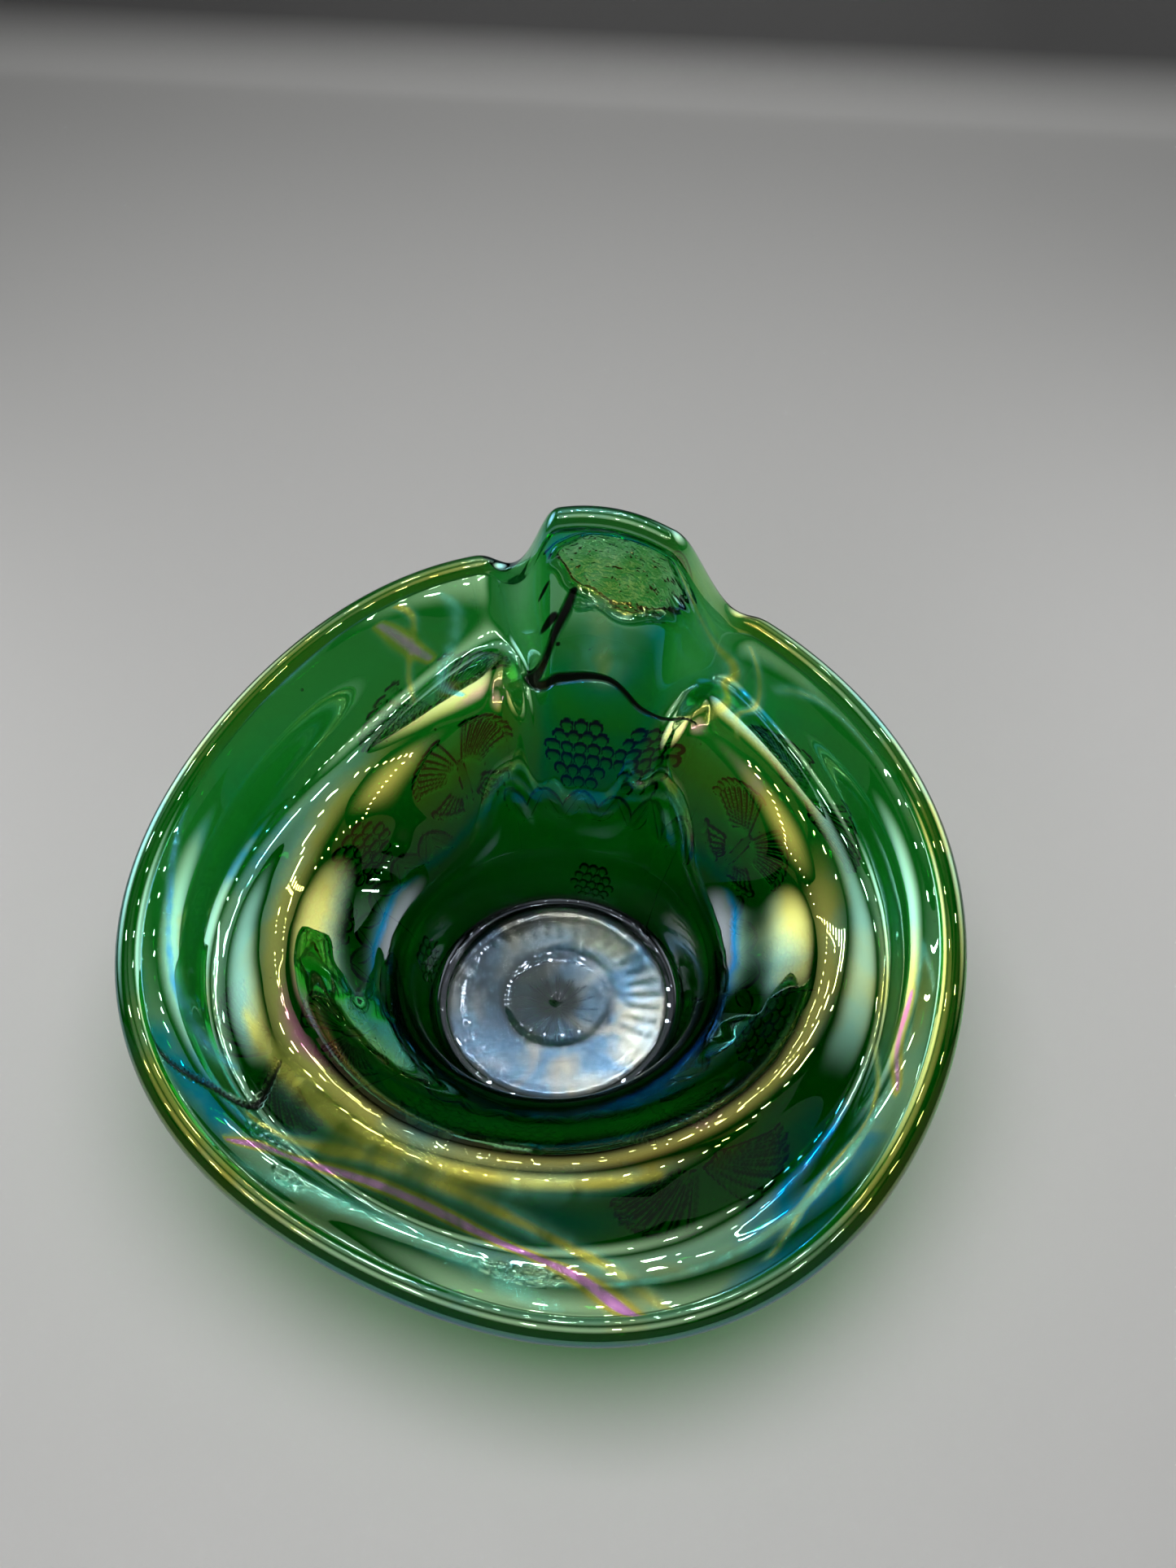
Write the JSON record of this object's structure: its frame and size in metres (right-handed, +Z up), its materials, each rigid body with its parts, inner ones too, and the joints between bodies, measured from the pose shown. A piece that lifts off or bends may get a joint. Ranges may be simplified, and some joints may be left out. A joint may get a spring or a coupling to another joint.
{
  "type": "art glass bowl",
  "caption": "Hand-swung green iridescent glass bowl with a thick flared brim, rolled throat ridge, pressed pattern outside and a pulled neck at the back.",
  "frame": {"origin": "middle of the ground foot, on the surface that the bowl stands on", "axes": "+Z up, -Y towards the low side of the brim, and the neck at the back, 12 degrees from +Y towards +X"},
  "size_m": [0.1668, 0.1586, 0.0988],
  "materials": {
    "base_glass": "clear dark green glass, silvery iridescent on its upper face",
    "wall_glass": "clear green pressed glass with a thin iridescent film inside",
    "brim_glass": "fire-polished green glass with a gold, teal and pink iridescent film",
    "neck_glass": "fire-polished pale green glass with a faint iridescent film",
    "bead_glass": "rounded fire-polished edge with a cream and gold sheen",
    "chilled_glass": "crinkled, chilled glass with a silvery sheen"
  },
  "bodies": {
    "root": {"foot_ring": "base_glass", "base_disc": "base_glass", "base_star": "base_glass", "cup_wall": "wall_glass", "flared_brim": "brim_glass", "pulled_neck": "neck_glass", "lip_bead": "bead_glass", "grip_mark": "chilled_glass", "upper_berries": "wall_glass", "lower_berries": "wall_glass", "leaf_band": "wall_glass", "butterflies": "wall_glass", "brim_wings": "brim_glass"}
  },
  "joints": []
}
